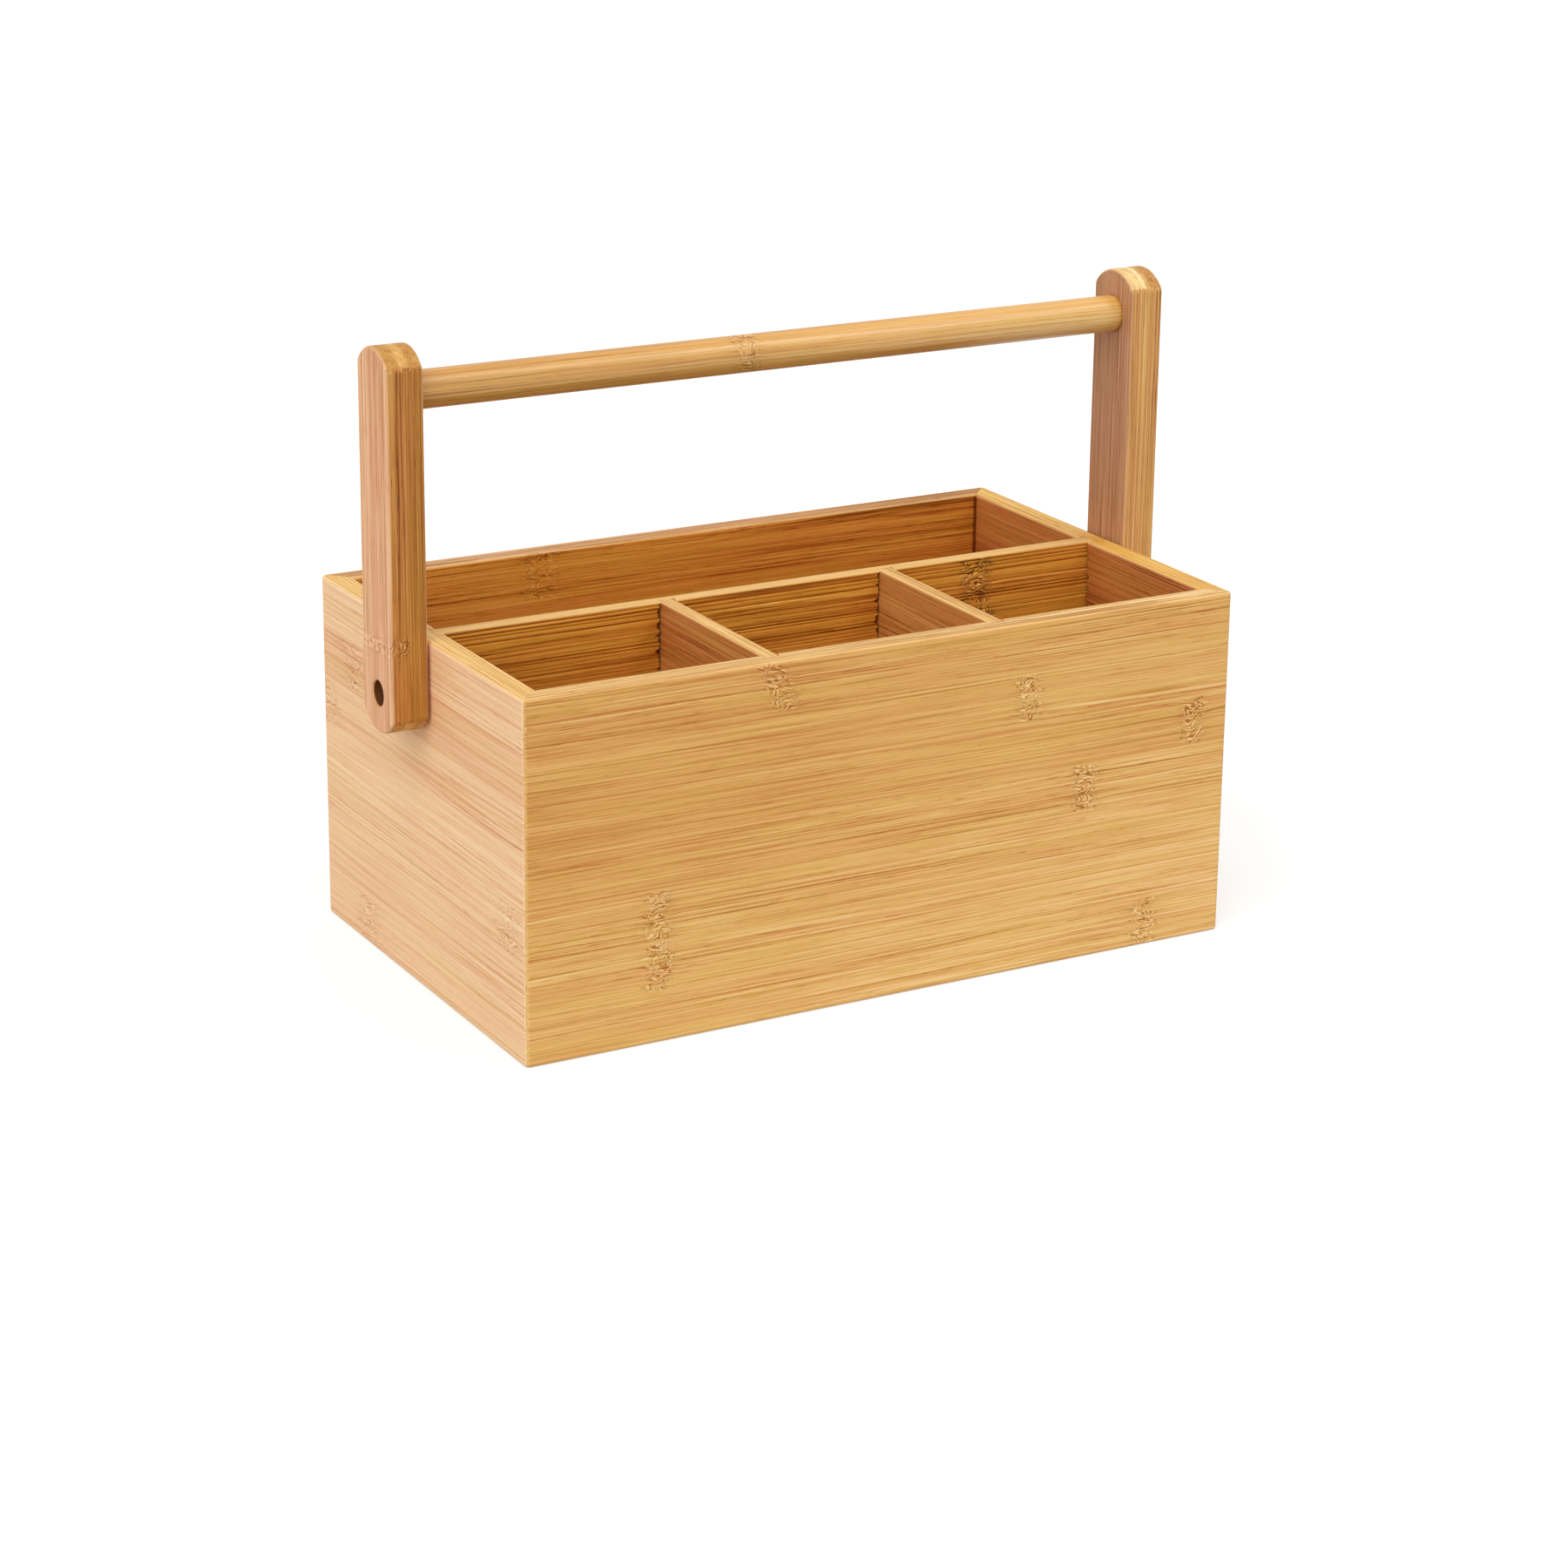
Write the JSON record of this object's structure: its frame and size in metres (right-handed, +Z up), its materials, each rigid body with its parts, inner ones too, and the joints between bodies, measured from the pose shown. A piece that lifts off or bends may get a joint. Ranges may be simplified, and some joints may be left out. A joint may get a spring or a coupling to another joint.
{
  "type": "utensil organizer",
  "caption": "Open-top bamboo cutlery caddy with mitred walls, a long rear bay, a row of front bays and a round carry bar on two arms that fold down over either long side.",
  "frame": {"origin": "on the table under the middle of the box", "axes": "+X along the long side, to the right seen from the front; -Y towards the front with its three bays; +Z up"},
  "size_m": [0.276, 0.15, 0.2055],
  "materials": {
    "bamboo_walls": "natural bamboo boards, sanded and clear lacquered, satin",
    "bamboo_inside": "natural bamboo, lightly sanded, satin",
    "bamboo_arms": "laminated bamboo strip, clear lacquered, satin",
    "bamboo_bar": "turned bamboo, clear lacquered, satin",
    "zinc_plated_steel": "bright zinc plate"
  },
  "bodies": {
    "box": {"front_panel": "bamboo_walls", "back_panel": "bamboo_walls", "left_panel": "bamboo_walls", "right_panel": "bamboo_walls", "bottom_panel": "bamboo_inside", "long_divider": "bamboo_inside", "cross_divider_left": "bamboo_inside", "cross_divider_right": "bamboo_inside", "pivot_screw_left": "zinc_plated_steel", "pivot_screw_right": "zinc_plated_steel", "head_washer_left": "zinc_plated_steel", "head_washer_right": "zinc_plated_steel", "spacer_washer_left": "zinc_plated_steel", "spacer_washer_right": "zinc_plated_steel"},
    "handle": {"handle_arm_left": "bamboo_arms", "handle_arm_right": "bamboo_arms", "handle_bar": "bamboo_bar"}
  },
  "joints": [
    {"name": "handle_swing", "type": "hinge", "parent": "box", "child": "handle", "pos_m": [0, 0, 0.098], "axis": [1, 0, 0], "range_deg": [-119, 119]}
  ]
}
